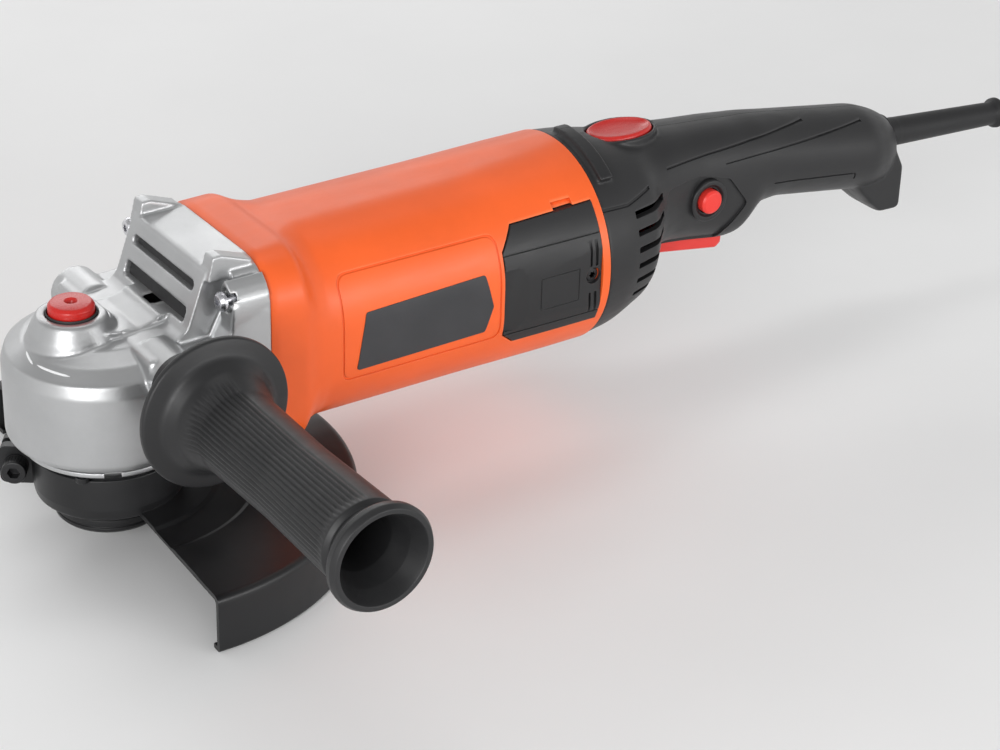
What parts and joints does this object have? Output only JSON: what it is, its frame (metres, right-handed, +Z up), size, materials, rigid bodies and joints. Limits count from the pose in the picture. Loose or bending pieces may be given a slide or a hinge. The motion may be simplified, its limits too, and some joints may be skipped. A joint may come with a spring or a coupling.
{
  "type": "angle grinder",
  "caption": "Large corded angle grinder: cast gear head with half-round disc guard, side handle, round motor housing and swivelling rear handle with trigger and hooked end.",
  "frame": {"origin": "centre of the spindle's lower end face", "axes": "+X forward along the motor axis, away from the rear handle; +Y to the side the side handle is fitted on, the left as the user looks along +X; +Z up along the spindle, away from the disc"},
  "size_m": [0.5231, 0.2932, 0.1297],
  "materials": {
    "cast_aluminium": "satin cast, bead blasted",
    "orange_shell": "matt orange glass-filled nylon",
    "black_nylon": "satin black moulded nylon",
    "black_steel": "black powder coat or black oxide",
    "red_plastic": "smooth red moulded plastic",
    "soft_rubber": "soft black rubber",
    "steel": "machined or zinc-plated steel",
    "copper": "enamelled copper wire and copper bars",
    "laminations": "stacked steel sheet",
    "brass": "drawn brass",
    "carbon": "pressed graphite"
  },
  "bodies": {
    "housing": {"gear_case": "cast_aluminium", "case_screw_1": "steel", "case_screw_2": "steel", "case_screw_3": "steel", "case_screw_4": "steel", "bearing_cover": "cast_aluminium", "cover_screw_1": "steel", "cover_screw_2": "steel", "cover_screw_3": "steel", "cover_screw_4": "steel", "spindle_bearing": "steel", "top_bearing": "steel", "front_bearing": "steel", "rear_bearing": "steel", "motor_housing": "orange_shell", "stator_core": "laminations", "upper_field_coil": "copper", "lower_field_coil": "copper", "brush_cover_left": "black_nylon", "brush_cover_screw_left": "steel", "brush_holder_left": "brass", "carbon_brush_left": "carbon", "brush_spring_left": "steel", "brush_cover_right": "black_nylon", "brush_cover_screw_right": "steel", "brush_holder_right": "brass", "carbon_brush_right": "carbon", "brush_spring_right": "steel", "side_handle": "black_nylon", "side_handle_stud": "steel", "lock_spring": "steel"},
    "spindle": {"spindle": "steel", "crown_gear": "steel", "inner_flange": "black_steel", "lock_nut": "black_steel"},
    "armature": {"armature_shaft": "steel", "rotor_core": "laminations", "front_winding": "copper", "rear_winding": "copper", "commutator": "copper", "fan": "black_nylon", "pinion": "steel"},
    "spindle_lock": {"lock_button": "red_plastic", "lock_pin": "steel"},
    "guard": {"guard": "black_steel", "clamp_screw": "black_steel", "clamp_nut": "black_steel"},
    "rear_handle": {"handle_left": "black_nylon", "handle_right": "black_nylon", "handle_screw_1": "steel", "handle_screw_2": "steel", "handle_screw_3": "steel", "handle_screw_4": "steel", "trigger_pin": "steel", "switch_body": "black_nylon", "trigger_spring": "steel", "cord_boot": "soft_rubber"},
    "trigger": {"trigger": "red_plastic"},
    "lock_on_button": {"lock_on_button": "red_plastic"},
    "release_button": {"release_button": "red_plastic"}
  },
  "joints": [
    {"name": "spindle_spin", "type": "hinge", "parent": "housing", "child": "spindle", "pos_m": [0, 0, 0], "axis": [0, 0, 1], "continuous": true},
    {"name": "armature_spin", "type": "hinge", "parent": "housing", "child": "armature", "pos_m": [0, 0, 0.0703], "axis": [1, 0, 0], "continuous": true},
    {"name": "lock_press", "type": "slide", "parent": "housing", "child": "spindle_lock", "axis": [0, 0, -1], "range_m": [0, 0.004], "stiffness_N_per_m": 600, "springref_m": -0.003, "deforming": ["lock_spring"]},
    {"name": "guard_turn", "type": "hinge", "parent": "housing", "child": "guard", "pos_m": [0, 0, 0.02], "axis": [0, 0, 1], "range_deg": [-90, 90]},
    {"name": "handle_turn", "type": "hinge", "parent": "housing", "child": "rear_handle", "pos_m": [-0.2138, 0, 0.0703], "axis": [1, 0, 0], "range_deg": [-90, 90]},
    {"name": "trigger_pull", "type": "hinge", "parent": "rear_handle", "child": "trigger", "pos_m": [-0.2618, 0, 0.0558], "axis": [0, 1, 0], "range_deg": [0, 5], "stiffness_Nm_per_rad": 1.2, "springref_deg": -4.58, "deforming": ["trigger_spring"]},
    {"name": "lock_on_press", "type": "slide", "parent": "rear_handle", "child": "lock_on_button", "axis": [0, -1, 0], "range_m": [0, 0.0025], "stiffness_N_per_m": 400, "springref_m": -0.002},
    {"name": "release_press", "type": "slide", "parent": "rear_handle", "child": "release_button", "axis": [0, 0, -1], "range_m": [0, 0.002], "stiffness_N_per_m": 600, "springref_m": -0.003}
  ],
  "couplings": [
    {"joint": "armature_spin", "follows": "spindle_spin", "ratio": -3.5}
  ]
}
